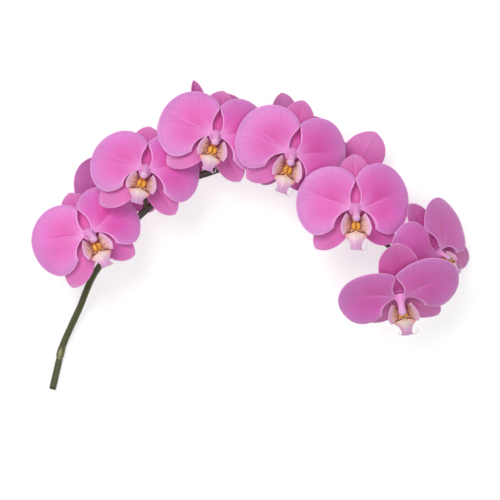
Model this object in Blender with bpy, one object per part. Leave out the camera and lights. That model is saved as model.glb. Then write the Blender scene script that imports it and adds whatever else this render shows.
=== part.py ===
"""A cut spray of moth orchid that lies on its back, with its blooms facing up.

One arched green stem carries eleven blooms on short stalks. Seven blooms face up and
four face the surface that the spray lies on. Each bloom has a node of three sepals, a
node of two petals with the column, a node for the lip and one for the yellow callus.
The origin is under the middle of the spray, on the surface, with +Z up.
"""

import math

import bmesh
import bpy
import numpy as np
from mathutils import Matrix, Vector

MM = 0.001

# The photograph's frame: what a pixel covers at the level of the open blooms
IMAGE_MIDDLE = 250.0
ORIGIN_PIXEL = (254.7, 237.8)
PIXEL = 0.855
BLOOM_LEVEL = 60.0
EYE_ABOVE_BLOOMS = 1187.5

# Thickness of the parts of a bloom, in mm at true size
PETAL_THICK = 0.9
SEPAL_THICK = 0.9
LIP_THICK = 0.8
GAP = 0.3

# The two broad petals: each is a fan from a narrow claw beside the hub. The reach falls off
# by the square and the tenth power of the distance from the middle, below and above it
CLAW_X = 3.0
PETAL_REACH = 47.6
FAN_LOW = (-22.0, -26.0)
FAN_HIGH = (79.0, 17.0)
FAN_CLOSES = (0.25, 0.95)
PETAL_MID = 0.53
FADE_BELOW = (0.25, 0.28)
FADE_ABOVE = (0.47, 0.0)
PETAL_SWEEP = 11.0
PETAL_HEIGHT = 2.0
PETAL_RISE = 0.10
PETAL_BEND = 0.0035
PETAL_WAVE = (0.8, 9.0, 0.6)
PETAL_ROWS = (0.07, 0.33, 0.62, 0.85, 1.0)
PETAL_STEPS = 8

# Sepals: length, half-width, direction in degrees anticlockwise from +X
DORSAL = (45.0, 13.8, 90.0)
LATERALS = ((45.0, 12.2, 228.0), (45.0, 12.2, 312.0))
SEPAL_WIDEST = 0.58
SEPAL_ROWS = (0.05, 0.32, 0.6, 0.86, 1.0)
SEPAL_STEPS = (-1.0, -0.4, 0.4, 1.0)
SEPAL_FOOT = 0.28
SEPAL_TAPER = (0.82, 2.6)
SEPAL_BOW = 0.22
SEPAL_HEIGHT = -1.4
SEPAL_BEND = 0.002
SEPAL_CUP = 0.05
DORSAL_TILT = 8.0

# The plugs that join the sepals, and the petals, at the hub: radius, lower and upper end
SEPAL_HUB = (4.5, -2.5, 0.0)
PETAL_HUB = (4.2, 0.3, 3.0)

# The lip, its tendrils, the column over it and the callus: rails of points from one edge of
# each lobe to the other, middle lines and radii, and the callus's middle and half sizes
MIDLOBE = (
    ((-2.2, -4.9, 2.0), (-2.6, -10, 4.2), (-3.0, -15, 5.4), (-5.4, -19.5, 7.6),
     (-9.0, -22.8, 8.8), (-6.0, -27, 10.2), (-4.2, -31.2, 11.8), (-4.6, -34.4, 13.2)),
    ((0, -4.9, 2.0), (0, -10, 3.8), (0, -15, 4.8), (0, -19.5, 8.2),
     (0, -22.8, 10.0), (0, -27, 11.4), (0, -31.5, 12.8), (0, -34.6, 13.8)),
    ((2.2, -4.9, 2.0), (2.6, -10, 4.2), (3.0, -15, 5.4), (5.4, -19.5, 7.6),
     (9.0, -22.8, 8.8), (6.0, -27, 10.2), (4.2, -31.2, 11.8), (4.6, -34.4, 13.2)),
)
SIDE_LOBE = (
    ((2.2, -9.5, 4.0), (2.6, -13, 5.0), (3.0, -17, 6.2), (4.4, -19.3, 7.6)),
    ((6.0, -6.4, 4.8), (7.8, -11, 6.6), (8.8, -16.6, 8.2), (8.0, -21.0, 9.6)),
    ((7.8, -4.0, 5.2), (10.6, -9.4, 8.0), (12.4, -16.6, 9.8), (11.2, -22.3, 10.6)),
)
TENDRIL = ((2.6, -33.8, 13.0), (5.6, -35.4, 12.7), (8.4, -34.6, 12.6), (9.6, -31.0, 12.8),
           (9.0, -27.4, 13.2))
TENDRIL_RADII = (0.7, 0.6, 0.55, 0.5, 0.4)
COLUMN = ((0, 0, 0.6), (0, -0.5, 3.2), (0, -3.2, 6.6), (0, -6.4, 9.4), (0, -8.7, 11.3),
          (0, -10.2, 12.7))
COLUMN_RADII = (3.4, 2.9, 2.7, 3.3, 3.3, 1.2)
CALLUS_MIDDLE = (0.0, -14.9, 8.4)
CALLUS_HALF = (3.6, 3.1, 1.9)
CALLUS_DIP = 0.2
LIP_CLAW = (0.0, -4.9, 2.0)

STEM_RADIUS = 3.05
STEM_TIP_RADIUS = 1.9
STEM_SIDES = 8
STEM_LIE = STEM_RADIUS * math.cos(math.pi / STEM_SIDES)

# The stem: pixels and heights of its middle line, from the cut end to the tip
STEM_CUT = ((52.5, 389.0, STEM_LIE), (57.7, 366.5, STEM_LIE))
STEM_ROUTE = (
    (62.7, 346, 3.6), (71.7, 325, 7.0), (80, 307, 12), (89.6, 283, 19), (99.5, 266, 25),
    (120, 237, 31), (146, 210, 33), (175, 189, 35), (207, 173, 36), (245, 167, 37),
    (290, 175, 38), (345, 212, 40), (387, 245, 43), (404, 258, 46),
)

# The stalks: radii from the stem to the hub, how far the end runs straight and how much of
# the whole each bend takes; and the bract at the foot of each: radii and length
STALK_RADII = (1.5, 1.5, 1.5, 1.5, 1.8, 2.1)
STALK_SIDES = 5
STALK_END = 1.5
STALK_BEND = 0.45
BRACT_RADII = (3.4, 0.5)
BRACT_LENGTH = 5.5

# The joint low on the stem: the pixels of its papery sheath's ends and of the bud in it
SHEATH_PIXELS = ((62.0, 360.0), (62.0, 341.0))
SHEATH_EXTRA = 0.45
BUD_PIXEL = (62.0, 353.0)
BUD_RADII = (2.3, 2.3, 0.4)
BUD_REACH = (-2.0, 8.5)
BUD_LIFT = (1.8, 3.65)

# Each bloom: pixel and height of its hub, size, the lean of its top to the left, the turn
# of its face to the right and the nod of its face down the photograph, in degrees, and
# the pixel where its stalk leaves the stem
FRONT_BLOOMS = {
    "bloom_1": dict(hub=(89, 234, 58), size=1.0, lean=25, turn=9, nod=-14, stalk=(113, 248)),
    "bloom_2": dict(hub=(145, 170.5, 60), size=1.0, lean=-8, turn=10, nod=-15,
                    stalk=(150, 207)),
    "bloom_3": dict(hub=(215.5, 136, 61), size=1.0, lean=-11, turn=11, nod=-9,
                    stalk=(212, 174)),
    "bloom_4": dict(hub=(291, 153.5, 62.5), size=1.01, lean=-18, turn=10, nod=3,
                    stalk=(290, 175)),
    "bloom_5": dict(hub=(355, 208.5, 67), size=1.01, lean=-1, turn=3, nod=0,
                    stalk=(352, 217)),
    "bloom_6": dict(hub=(437.5, 252, 53), size=1.0, lean=42, turn=42, nod=-2,
                    stalk=(398, 253)),
    "bloom_7": dict(hub=(400, 295.5, 72), size=1.08, lean=13, turn=0, nod=46,
                    stalk=(404, 258)),
}
REAR_BLOOMS = {
    "bloom_8": dict(hub=(118, 185.5, 15.8), size=0.81, lean=15, turn=9, nod=8,
                    stalk=(135, 222)),
    "bloom_9": dict(hub=(205.5, 136, 17.85), size=0.91, lean=15, turn=9, nod=8,
                    stalk=(200, 179)),
    "bloom_10": dict(hub=(286, 144, 17.15), size=0.90, lean=9, turn=9, nod=8,
                     stalk=(270, 170)),
    "bloom_11": dict(hub=(350.5, 182, 17.3), size=0.97, lean=-21, turn=9, nod=8,
                     stalk=(335, 203)),
}

# How single blooms differ. A petal is turned in the bloom's plane, away from the upright
# sepal, or furled back, or longer; the sepals, upright, left and right, are turned and
# stretched, the upright one folded or wider, the other two tilted back by so many degrees;
# the lip and the column have a size and a turn of their own, and the tendrils curl more or
# less
PLAIN = dict(left_turn=0, left_furl=0, right_turn=0, right_furl=0, petal_reach=(1.0, 1.0),
             sepal_turns=(0, 0, 0), sepal_stretch=(1.0, 1.0, 1.0), dorsal_fold=0,
             dorsal_wide=1.0, sepal_tilt=8.0, lip_size=1.0, lip_turn=0,
             loops=(0.6, 1.0))
POSTURES = {
    "bloom_1": dict(left_turn=12, right_turn=3, sepal_turns=(-3, 0, 2),
                    sepal_stretch=(0.92, 1.0, 0.92), loops=(0.3, 0.6)),
    "bloom_2": dict(left_turn=8, right_turn=5, petal_reach=(0.96, 1.0),
                    sepal_turns=(0, -4, 2), sepal_stretch=(0.96, 1.0, 0.95), lip_turn=-8,
                    loops=(0.3, 0.35)),
    "bloom_3": dict(left_turn=8, right_turn=2, petal_reach=(1.02, 1.03),
                    sepal_turns=(-2, -8, 0), sepal_stretch=(0.95, 1.0, 0.93), lip_turn=-6,
                    loops=(0.3, 0.6)),
    "bloom_4": dict(left_turn=8, right_turn=5, petal_reach=(0.99, 1.03),
                    sepal_turns=(2, 0, 0), sepal_stretch=(1.02, 0.9, 0.74), loops=(0.4, 0.9)),
    "bloom_5": dict(left_turn=10, left_furl=-7, right_turn=-6, petal_reach=(0.99, 1.0),
                    sepal_turns=(0, -1, 9), sepal_stretch=(1.0, 1.0, 0.95), loops=(0.35, 0.9)),
    "bloom_6": dict(left_turn=-27, right_turn=11, right_furl=-4, petal_reach=(1.01, 1.02),
                    sepal_turns=(-16, 0, 1), sepal_stretch=(1.0, 1.0, 1.2), sepal_tilt=3.0,
                    lip_size=0.68),
    "bloom_7": dict(left_turn=14, left_furl=-18, right_turn=17, petal_reach=(0.955, 0.97),
                    sepal_turns=(-7, 0, -9), sepal_stretch=(1.0, 1.0, 1.0), dorsal_wide=1.12,
                    sepal_tilt=3.0, lip_size=0.95),
    "bloom_9": dict(dorsal_fold=60, sepal_stretch=(1.2, 1.0, 1.0)),
    "bloom_10": dict(left_turn=36, dorsal_fold=20, sepal_stretch=(1.1, 1.0, 1.0)),
    "bloom_11": dict(left_turn=38, right_turn=16, sepal_stretch=(1.08, 1.0, 1.0),
                     dorsal_wide=1.4),
}

# Base colour, linear, and roughness of each slot
FINISHES = {
    "petal": ((0.73, 0.17, 0.51), 0.5),
    "sepal": ((0.68, 0.13, 0.40), 0.55),
    "lip": ((0.80, 0.45, 0.50), 0.5),
    "callus": ((0.85, 0.42, 0.07), 0.45),
    "stem": ((0.12, 0.14, 0.06), 0.6),
}
SHARP_ANGLE = 50.0


def seen_at(pixel_x, pixel_y, height):
    """The place at this height, in mm, that lies under this pixel of the photograph."""
    scale = PIXEL * (EYE_ABOVE_BLOOMS + BLOOM_LEVEL - height) / EYE_ABOVE_BLOOMS
    axis_x = (IMAGE_MIDDLE - ORIGIN_PIXEL[0]) * PIXEL
    axis_y = (ORIGIN_PIXEL[1] - IMAGE_MIDDLE) * PIXEL
    x = axis_x + (pixel_x - IMAGE_MIDDLE) * scale
    y = axis_y + (IMAGE_MIDDLE - pixel_y) * scale
    return Vector((x, y, height))


def bloom_matrix(hub, size, lean, turn, nod, rear):
    """The move from a bloom's own frame, with its face along +Z, to its place."""
    def turned(angle, axis):
        return Matrix.Rotation(math.radians(angle), 4, axis)

    matrix = Matrix.Translation(seen_at(*hub)) @ turned(turn, "Y") @ turned(nod, "X")
    matrix = matrix @ turned(lean, "Z")
    if rear:
        matrix = matrix @ turned(180.0, "Y")
    return matrix @ Matrix.Scale(size, 4)


def shrunk(size, turn):
    """A change of size about the claw of the lip, then a turn in the bloom's plane."""
    pivot = Matrix.Translation(LIP_CLAW)
    turned = Matrix.Rotation(math.radians(turn), 4, "Z")
    return turned @ pivot @ Matrix.Scale(size, 4) @ pivot.inverted()


def mesh_object(name, points, faces):
    """An object from points in mm and faces, linked to the scene."""
    mesh = bpy.data.meshes.new(name)
    mesh.from_pydata([tuple(MM * float(c) for c in point) for point in points], [], faces)
    mesh.validate()
    obj = bpy.data.objects.new(name, mesh)
    bpy.context.scene.collection.objects.link(obj)
    return obj


def blade(grid, thick):
    """A closed blade round a grid of middle points, split alike on both faces."""
    grid = np.asarray(grid, dtype=float)
    rows, columns = grid.shape[:2]
    along = np.gradient(grid, axis=0)
    across = np.gradient(grid, axis=1)
    normal = np.cross(along, across)
    normal /= np.linalg.norm(normal, axis=2, keepdims=True)
    front = (grid + 0.5 * thick * normal).reshape(-1, 3)
    back = (grid - 0.5 * thick * normal).reshape(-1, 3)
    count = rows * columns

    faces = []
    for i in range(rows - 1):
        for j in range(columns - 1):
            a, b = i * columns + j, (i + 1) * columns + j
            c, d = b + 1, a + 1
            if (i + j) % 2:
                triangles = ((a, b, c), (a, c, d))
            else:
                triangles = ((a, b, d), (b, c, d))
            for p, q, r in triangles:
                faces.append((p, q, r))
                faces.append((count + r, count + q, count + p))
    rim = [(i * columns, (i + 1) * columns) for i in range(rows - 1)]
    rim += [((rows - 1) * columns + j, (rows - 1) * columns + j + 1)
            for j in range(columns - 1)]
    rim += [((i + 1) * columns + columns - 1, i * columns + columns - 1)
            for i in reversed(range(rows - 1))]
    rim += [(j + 1, j) for j in reversed(range(columns - 1))]
    for p, q in rim:
        faces.append((q, p, count + p))
        faces.append((q, count + p, count + q))
    return np.vstack((front, back)), faces


def tube(path, radii, sides, first_normal=None):
    """A closed round tube along a list of points, with a radius for each."""
    path = [Vector(point) for point in path]
    points, faces = [], []
    normal = Vector(first_normal) if first_normal else None
    for k, point in enumerate(path):
        ahead = path[min(k + 1, len(path) - 1)] - path[max(k - 1, 0)]
        ahead.normalize()
        if normal is None:
            normal = ahead.orthogonal()
        normal = (normal - ahead * normal.dot(ahead)).normalized()
        side = ahead.cross(normal)
        for s in range(sides):
            angle = math.tau * (s + 0.5) / sides
            points.append(point + radii[k] * (math.cos(angle) * normal
                                              + math.sin(angle) * side))
    for k in range(len(path) - 1):
        for s in range(sides):
            a, b = k * sides + s, k * sides + (s + 1) % sides
            faces.append((a, b, b + sides, a + sides))
    faces.append(tuple(reversed(range(sides))))
    last = (len(path) - 1) * sides
    faces.append(tuple(range(last, last + sides)))
    return points, faces


def disc(radius, low, high, sides=8):
    """A short round plug about the Z axis."""
    return tube(((0, 0, low), (0, 0, high)), (radius, radius), sides, (1, 0, 0))


def eased(low, high, value):
    """0 below low, 1 above high, and the curve 3x^2 - 2x^3 between."""
    x = min(1.0, max(0.0, (value - low) / (high - low)))
    return x * x * (3 - 2 * x)


def petal_grid(turn, furl, stretch, held):
    """The middle surface of the petal on the bloom's right.

    It is turned about its claw in the bloom's plane, and furled back about the upright
    line through the claw, both in degrees. A held petal keeps its two edges where they
    are, so that the turn moves only the middle of its fan.
    """
    height, waves, start = PETAL_WAVE
    grid = []
    for r in PETAL_ROWS:
        low = FAN_LOW[0] + FAN_LOW[1] * r * r
        high = FAN_HIGH[0] + FAN_HIGH[1] * eased(*FAN_CLOSES, r)
        sweep = math.radians(PETAL_SWEEP + furl * r)
        row = []
        for step in range(PETAL_STEPS + 1):
            t = step / PETAL_STEPS
            hold = (2 * t - 1) ** 2 if held else 0.0
            angle = math.radians(low + (high - low) * t + turn * min(1.0, 2 * r) * (1 - hold))
            below = t < PETAL_MID
            s = (t - PETAL_MID) / (PETAL_MID if below else 1 - PETAL_MID)
            square, tenth = FADE_BELOW if below else FADE_ABOVE
            reach = r * PETAL_REACH * stretch * (1 - square * s * s - tenth * s ** 10)
            x, y = reach * math.cos(angle), reach * math.sin(angle)
            z = PETAL_RISE * reach - PETAL_BEND * reach * reach
            z += height * r ** 3 * math.sin(waves * t + start)
            row.append((CLAW_X + x * math.cos(sweep) + z * math.sin(sweep), y,
                        PETAL_HEIGHT + z * math.cos(sweep) - x * math.sin(sweep)))
        grid.append(row)
    return np.array(grid)


def sepal_grid(length, half_width, direction, tilt, fold=0.0):
    """The middle surface of a sepal that points away from the hub.

    Its half-width rises along a sine and closes on a rounded tip. It tilts back, and the
    fold bends its two halves back along the midrib, by so many degrees at its widest.
    """
    heading = math.radians(direction)
    taper, power = SEPAL_TAPER
    grid = []
    for u in SEPAL_ROWS:
        rho = u * length
        if u < SEPAL_WIDEST:
            rising = math.sin(0.5 * math.pi * u / SEPAL_WIDEST)
            width = half_width * (SEPAL_FOOT + (1 - SEPAL_FOOT) * rising)
        else:
            over = (u - SEPAL_WIDEST) / (1 - SEPAL_WIDEST)
            width = half_width * math.sqrt(1 - taper * over ** power)
        bend = math.radians(fold) * min(1.0, 2 * u)
        row = []
        for v in SEPAL_STEPS:
            x = rho - SEPAL_BOW * width * v * v * u
            y = v * width * math.cos(bend)
            z = SEPAL_HEIGHT - rho * math.tan(math.radians(tilt)) - SEPAL_BEND * rho * rho
            z += SEPAL_CUP * width * v * v - abs(v) * width * math.sin(bend)
            row.append((x * math.cos(heading) - y * math.sin(heading),
                        x * math.sin(heading) + y * math.cos(heading), z))
        grid.append(row)
    return np.array(grid)


def smooth_curve(points, steps):
    """Points along a Catmull-Rom curve, with so many steps between each two."""
    points = np.asarray(points, dtype=float)
    padded = np.vstack((2 * points[0] - points[1], points, 2 * points[-1] - points[-2]))
    result = [points[0]]
    for k in range(len(points) - 1):
        p0, p1, p2, p3 = padded[k:k + 4]
        for step in range(1, steps + 1):
            t = step / steps
            result.append(0.5 * (2 * p1 + (p2 - p0) * t
                                 + (2 * p0 - 5 * p1 + 4 * p2 - p3) * t * t
                                 + (3 * p1 - p0 - 3 * p2 + p3) * t ** 3))
    return np.array(result)


def mirrored(grid):
    """The grid's left-hand twin, with its rows turned round to keep its faces out."""
    twin = np.array(grid)[:, ::-1].copy()
    twin[..., 0] *= -1
    return twin


def lip_solids(loops):
    """The lip's middle lobe, its two side lobes and its tendrils, which curl so wide."""
    side = np.array(SIDE_LOBE)
    tendril = np.array(TENDRIL)
    solids = [blade(np.array(MIDLOBE)[::-1].copy(), LIP_THICK)]
    solids += [blade(side, LIP_THICK), blade(mirrored(side.transpose(1, 0, 2)).transpose(1, 0, 2),
                                             LIP_THICK)]
    for flip, loop in zip((-1, 1), loops):
        curl = tendril[0] + (tendril - tendril[0]) * np.array((loop, loop, 1))
        solids.append(tube(curl * np.array((flip, 1, 1)), TENDRIL_RADII, 3))
    return solids


def column_solid(size, turn):
    """The column, sized and turned as the lip is."""
    middle = [shrunk(size, turn) @ Vector(point) for point in COLUMN]
    return tube(middle, [size * radius for radius in COLUMN_RADII], 6, (1, 0, 0))


def callus_solid():
    """A yellow lump over the lip's claw, with a dip along its middle."""
    rings, sides = 4, 8
    points, faces = [], []
    for k in range(rings):
        phi = math.pi * (k + 0.5) / rings
        for s in range(sides):
            theta = math.tau * s / sides
            x = math.sin(phi) * math.cos(theta)
            y = math.sin(phi) * math.sin(theta)
            z = math.cos(phi) + CALLUS_DIP * abs(x)
            points.append([mid + half * along for mid, half, along
                           in zip(CALLUS_MIDDLE, CALLUS_HALF, (x, y, z))])
    for k in range(rings - 1):
        for s in range(sides):
            a, b = k * sides + s, k * sides + (s + 1) % sides
            faces.append((a, a + sides, b + sides, b))
    faces.append(tuple(range(sides)))
    faces.append(tuple(reversed(range((rings - 1) * sides, rings * sides))))
    return points, faces


def fused(name, solids, matrix):
    """One object from overlapping closed solids, placed by the matrix."""
    scene = bpy.context.scene
    base = mesh_object(name, *solids[0])
    if len(solids) > 1:
        others = bpy.data.collections.new(name + "_repeats")
        scene.collection.children.link(others)
        for k, (points, faces) in enumerate(solids[1:]):
            part = mesh_object(f"{name}_repeat_{k}", points, faces)
            scene.collection.objects.unlink(part)
            others.objects.link(part)
        union = base.modifiers.new("union", "BOOLEAN")
        union.operation = "UNION"
        union.operand_type = "COLLECTION"
        union.collection = others
        union.solver = "EXACT"
        bpy.context.view_layer.update()
        graph = bpy.context.evaluated_depsgraph_get()
        mesh = bpy.data.meshes.new_from_object(base.evaluated_get(graph))
        base.modifiers.clear()
        base.data = mesh
        for part in list(others.objects):
            bpy.data.objects.remove(part, do_unlink=True)
        bpy.data.collections.remove(others)
    place = Matrix.Scale(MM, 4) @ matrix @ Matrix.Scale(1 / MM, 4)
    base.data.transform(place)
    base.data.name = name
    return base


def plain_material(name, colour, roughness):
    """A plain non-metallic finish."""
    made = bpy.data.materials.new(name)
    made.use_nodes = True
    shader = made.node_tree.nodes["Principled BSDF"]
    shader.inputs["Base Color"].default_value = (*colour, 1.0)
    shader.inputs["Roughness"].default_value = roughness
    shader.inputs["Metallic"].default_value = 0.0
    return made


def finish(obj, finish_material):
    """Gives an object its material and smooth shading with sharp rims."""
    obj.data.materials.clear()
    obj.data.materials.append(finish_material)
    obj.data.shade_smooth()
    obj.data.set_sharp_from_angle(angle=math.radians(SHARP_ANGLE))


def flatten_on_surface(obj):
    """Presses a lip that reaches the surface flat on it, by a cut at height 0."""
    mesh = bmesh.new()
    mesh.from_mesh(obj.data)
    everything = mesh.verts[:] + mesh.edges[:] + mesh.faces[:]
    bmesh.ops.bisect_plane(mesh, geom=everything, plane_co=(0, 0, 0), plane_no=(0, 0, 1),
                           clear_inner=True, dist=1e-7)
    rims = [edge for edge in mesh.edges if edge.is_boundary]
    bmesh.ops.holes_fill(mesh, edges=rims)
    mesh.to_mesh(obj.data)
    mesh.free()


def build_bloom(name, place, rear, finishes):
    """The four nodes of one bloom."""
    spot = {key: value for key, value in place.items() if key != "stalk"}
    matrix = bloom_matrix(rear=rear, **spot)
    posture = {**PLAIN, **POSTURES.get(name, {})}
    turns, stretch = posture["sepal_turns"], posture["sepal_stretch"]
    length, half_width, direction = DORSAL
    dorsal = sepal_grid(length * stretch[0], half_width * posture["dorsal_wide"],
                        direction + turns[0], DORSAL_TILT, posture["dorsal_fold"])
    sepals = [blade(dorsal, SEPAL_THICK)]
    for lateral, turn, factor in zip(LATERALS, turns[1:], stretch[1:]):
        length, half_width, direction = lateral
        grid = sepal_grid(length * factor, half_width, direction + turn, posture["sepal_tilt"])
        sepals.append(blade(grid, SEPAL_THICK))
    left_reach, right_reach = posture["petal_reach"]
    right = petal_grid(-posture["right_turn"], posture["right_furl"], right_reach, not rear)
    left = petal_grid(-posture["left_turn"], posture["left_furl"], left_reach, not rear)
    petals = [blade(right, PETAL_THICK), blade(mirrored(left), PETAL_THICK)]
    petals.append(column_solid(posture["lip_size"], posture["lip_turn"]))
    finish(fused(name + "_sepals", [disc(*SEPAL_HUB)] + sepals, matrix), finishes["sepal"])
    finish(fused(name + "_petals", [disc(*PETAL_HUB)] + petals, matrix), finishes["petal"])
    face = matrix @ shrunk(posture["lip_size"], posture["lip_turn"])
    lip = fused(name + "_lip", lip_solids(posture["loops"]), face)
    if rear:
        flatten_on_surface(lip)
    finish(lip, finishes["lip"])
    finish(fused(name + "_callus", [callus_solid()], face), finishes["callus"])
    return matrix


def stem_path():
    """The stem's middle line: a straight end on the surface, then one smooth arch."""
    start = [seen_at(*STEM_CUT[0])]
    arch = smooth_curve([seen_at(*STEM_CUT[1])] + [seen_at(*p) for p in STEM_ROUTE], 2)
    return start + [Vector(point) for point in arch]


def nearest(path, pixel):
    """The index of the path's point that lies under this pixel, and the point."""
    def apart(k):
        under = seen_at(*pixel, path[k].z)
        return (path[k] - under).length
    k = min(range(len(path)), key=apart)
    return k, path[k]


def stalk_solids(path, pixel, matrix):
    """A bloom's short stalk, from the stem to the back of its hub, and its bract."""
    leave = nearest(path, pixel)[1]
    facing = (matrix.to_3x3() @ Vector((0, 0, 1))).normalized()
    back = matrix @ Vector((0, 0, SEPAL_HUB[1])) - GAP * facing
    last = back - STALK_END * facing
    reach = STALK_BEND * (last - leave).length
    out = (last - leave).normalized()
    a, b, c = leave, leave + reach * out, last - reach * facing
    line = []
    bends = len(STALK_RADII) - 2
    for k in range(bends + 1):
        t = k / bends
        line.append((1 - t) ** 3 * a + 3 * (1 - t) ** 2 * t * b
                    + 3 * (1 - t) * t * t * c + t ** 3 * last)
    stalk = tube(line + [back], STALK_RADII, STALK_SIDES)
    bract = tube((leave, leave + BRACT_LENGTH * out), BRACT_RADII, STALK_SIDES)
    return [stalk, bract]


def build_stem(matrices, finishes):
    """The stem with its sheath and bud, its stalks and their bracts."""
    path = stem_path()
    last = len(path) - 1
    radii = [STEM_RADIUS + (STEM_TIP_RADIUS - STEM_RADIUS) * (k / last) ** 2
             for k in range(len(path))]
    solids = [tube(path, radii, STEM_SIDES, (0, 0, 1))]
    low, high = (nearest(path, pixel)[0] for pixel in SHEATH_PIXELS)
    sheath = path[low:high + 1]
    around = [STEM_RADIUS + SHEATH_EXTRA] * (len(sheath) - 1) + [STEM_RADIUS]
    lift = Vector((0, 0, 2 * SHEATH_EXTRA))
    solids.append(tube([point + lift for point in sheath], around, STEM_SIDES, (0, 0, 1)))
    k, foot = nearest(path, BUD_PIXEL)
    along = (path[k + 1] - path[k]).normalized()
    bud_foot, bud_top = (foot + reach * along + Vector((0, 0, lift))
                         for reach, lift in zip(BUD_REACH, BUD_LIFT))
    solids.append(tube((bud_foot, bud_foot.lerp(bud_top, 0.4), bud_top), BUD_RADII, 6))
    for name, place in {**FRONT_BLOOMS, **REAR_BLOOMS}.items():
        solids += stalk_solids(path, place["stalk"], matrices[name])
    finish(fused("flower_stem", solids, Matrix.Identity(4)), finishes["stem"])


def main():
    for obj in list(bpy.data.objects):
        bpy.data.objects.remove(obj, do_unlink=True)
    finishes = {name: plain_material(name, *look) for name, look in FINISHES.items()}
    matrices = {}
    for rear, blooms in ((False, FRONT_BLOOMS), (True, REAR_BLOOMS)):
        for name, place in blooms.items():
            matrices[name] = build_bloom(name, place, rear, finishes)
    build_stem(matrices, finishes)


main()
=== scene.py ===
import math

import bpy
import numpy as np
from mathutils import Matrix, Vector


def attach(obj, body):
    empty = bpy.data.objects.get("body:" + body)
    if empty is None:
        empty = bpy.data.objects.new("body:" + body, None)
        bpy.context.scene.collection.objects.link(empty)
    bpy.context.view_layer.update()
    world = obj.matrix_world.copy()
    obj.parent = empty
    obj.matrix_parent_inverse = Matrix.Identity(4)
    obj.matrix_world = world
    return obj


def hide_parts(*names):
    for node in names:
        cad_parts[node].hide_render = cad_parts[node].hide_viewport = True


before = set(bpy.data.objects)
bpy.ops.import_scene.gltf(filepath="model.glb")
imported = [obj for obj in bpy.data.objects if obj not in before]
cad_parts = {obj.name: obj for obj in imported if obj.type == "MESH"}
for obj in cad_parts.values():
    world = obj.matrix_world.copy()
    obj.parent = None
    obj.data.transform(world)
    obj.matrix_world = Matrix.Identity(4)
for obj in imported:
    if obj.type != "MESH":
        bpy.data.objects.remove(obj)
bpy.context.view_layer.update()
print("frame:", len(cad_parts), "nodes")

# what a pixel of the photograph covers at the level of the open blooms; lengths are in mm
photo = dict(middle=250.0, origin=(254.7, 237.8), pixel=0.855, level=60.0, eye=1187.5, sensor=36.0)


def seenAt(pixelX, pixelY, height):
    # the place under a pixel: the view spreads from the eye, so its scale falls with height
    scale = photo["pixel"] * (photo["eye"] + photo["level"] - height) / photo["eye"]
    middleX = (photo["middle"] - photo["origin"][0]) * photo["pixel"]
    middleY = (photo["origin"][1] - photo["middle"]) * photo["pixel"]
    return np.array((middleX + (pixelX - photo["middle"]) * scale,
                     middleY + (photo["middle"] - pixelY) * scale, height))


# hub: pixel and height; lean of the top to the left, turn to the right, nod down the photograph;
# the pixel at which its stalk leaves the stem; a petal turned away from the upright sepal or
# furled, and the reach of both; the sepals, upright, left and right, turned and stretched, the
# upright one's width and fold, and how far the others tilt back; the size of the lip and the
# column beside the rest, and their turn; how wide the tendrils curl; whether the bloom faces
# away, and how dull it is
blooms = {
    1: dict(hub=(89, 234, 58), size=1.0, lean=25, turn=9, nod=-14, stalk=(113, 248), leftTurn=12,
            rightTurn=3, sepalTurns=(-3, 0, 2), sepalStretch=(0.92, 1, 0.92), loops=(0.3, 0.6)),
    2: dict(hub=(145, 170.5, 60), size=1.0, lean=-8, turn=10, nod=-15, stalk=(150, 207), leftTurn=8,
            rightTurn=5, petalReach=(0.96, 1), sepalTurns=(0, -4, 2), sepalStretch=(0.96, 1, 0.95),
            lipTurn=-8, loops=(0.3, 0.35)),
    3: dict(hub=(215.5, 136, 61), size=1.0, lean=-11, turn=11, nod=-9, stalk=(212, 174), leftTurn=8,
            rightTurn=2, petalReach=(1.02, 1.03), sepalTurns=(-2, -8, 0),
            sepalStretch=(0.95, 1, 0.93), lipTurn=-6, loops=(0.3, 0.6)),
    4: dict(hub=(291, 153.5, 62.5), size=1.01, lean=-18, turn=10, nod=3, stalk=(290, 175),
            leftTurn=8, rightTurn=5, petalReach=(0.99, 1.03), sepalTurns=(2, 0, 0),
            sepalStretch=(1.02, 0.9, 0.74), loops=(0.4, 0.9)),
    5: dict(hub=(355, 208.5, 67), size=1.01, lean=-1, turn=3, nod=0, stalk=(352, 217), leftTurn=10,
            leftFurl=-7, rightTurn=-6, petalReach=(0.99, 1), sepalTurns=(0, -1, 9),
            sepalStretch=(1, 1, 0.95), loops=(0.35, 0.9)),
    6: dict(hub=(437.5, 252, 53), size=1.0, lean=42, turn=42, nod=-2, stalk=(398, 253),
            leftTurn=-27, rightTurn=11, rightFurl=-4, petalReach=(1.01, 1.02),
            sepalTurns=(-16, 0, 1), sepalStretch=(1, 1, 1.2), sepalTilt=3, lipSize=0.68, tone=0.75),
    7: dict(hub=(400, 295.5, 72), size=1.08, lean=13, turn=0, nod=46, stalk=(404, 258), leftTurn=14,
            leftFurl=-18, rightTurn=17, petalReach=(0.955, 0.97), sepalTurns=(-7, 0, -9),
            dorsalWide=1.12, sepalTilt=3, lipSize=0.95, tone=0.55),
    8: dict(hub=(118, 185.5, 15.8), size=0.81, lean=15, turn=9, nod=8, stalk=(135, 222), rear=True),
    9: dict(hub=(205.5, 136, 17.85), size=0.91, lean=15, turn=9, nod=8, stalk=(200, 179), rear=True,
            dorsalFold=60, sepalStretch=(1.2, 1, 1)),
    10: dict(hub=(286, 144, 17.15), size=0.90, lean=9, turn=9, nod=8, stalk=(270, 170), rear=True,
             leftTurn=36, dorsalFold=20, sepalStretch=(1.1, 1, 1), tone=0.6),
    11: dict(hub=(350.5, 182, 17.3), size=0.97, lean=-21, turn=9, nod=8, stalk=(335, 203),
             rear=True, leftTurn=38, rightTurn=16, sepalStretch=(1.08, 1, 1), dorsalWide=1.4),
}
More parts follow.
